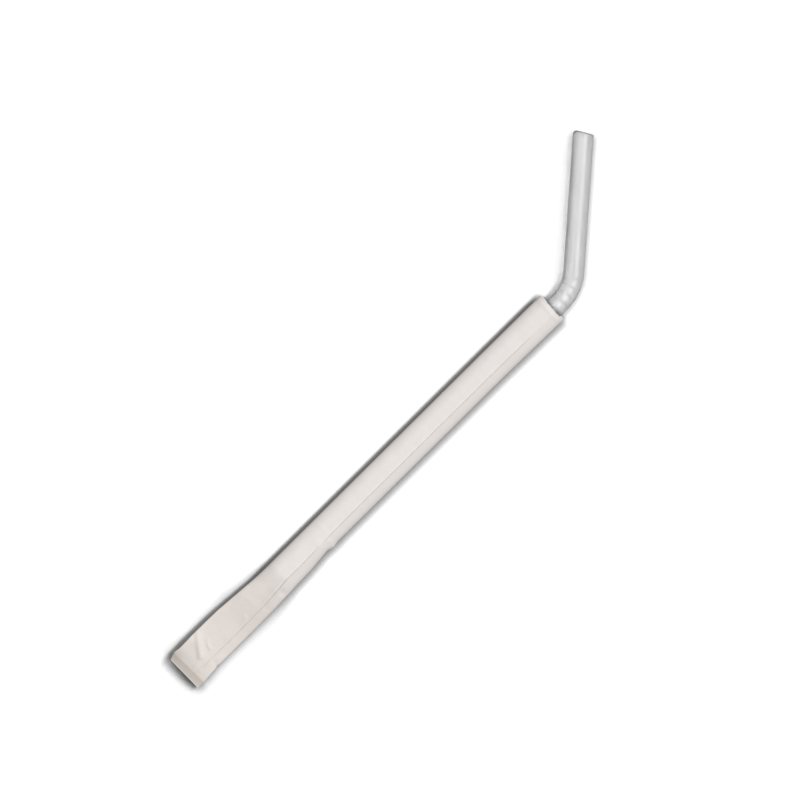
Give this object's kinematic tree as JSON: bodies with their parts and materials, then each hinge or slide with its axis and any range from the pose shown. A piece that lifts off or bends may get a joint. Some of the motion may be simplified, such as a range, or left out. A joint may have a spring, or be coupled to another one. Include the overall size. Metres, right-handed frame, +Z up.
{
  "type": "wrapped drinking straw",
  "caption": "Translucent plastic drinking straw with a ringed flexible neck bent to one side, its long leg still in a lapped and crimped paper wrapper.",
  "frame": {"origin": "on the table, under the middle of the whole lying object's box", "axes": "+X along the straw's long leg, from the wrapper's closed end towards the neck; +Y to the side that the short leg bends towards; +Z up from the table"},
  "size_m": [0.1938, 0.0374, 0.0066],
  "materials": {
    "straw_plastic": "translucent milky polypropylene, softly glossy",
    "wrapper_paper": "matte thin off-white paper"
  },
  "bodies": {
    "root": {"straw": "straw_plastic", "wrapper": "wrapper_paper"}
  },
  "joints": []
}
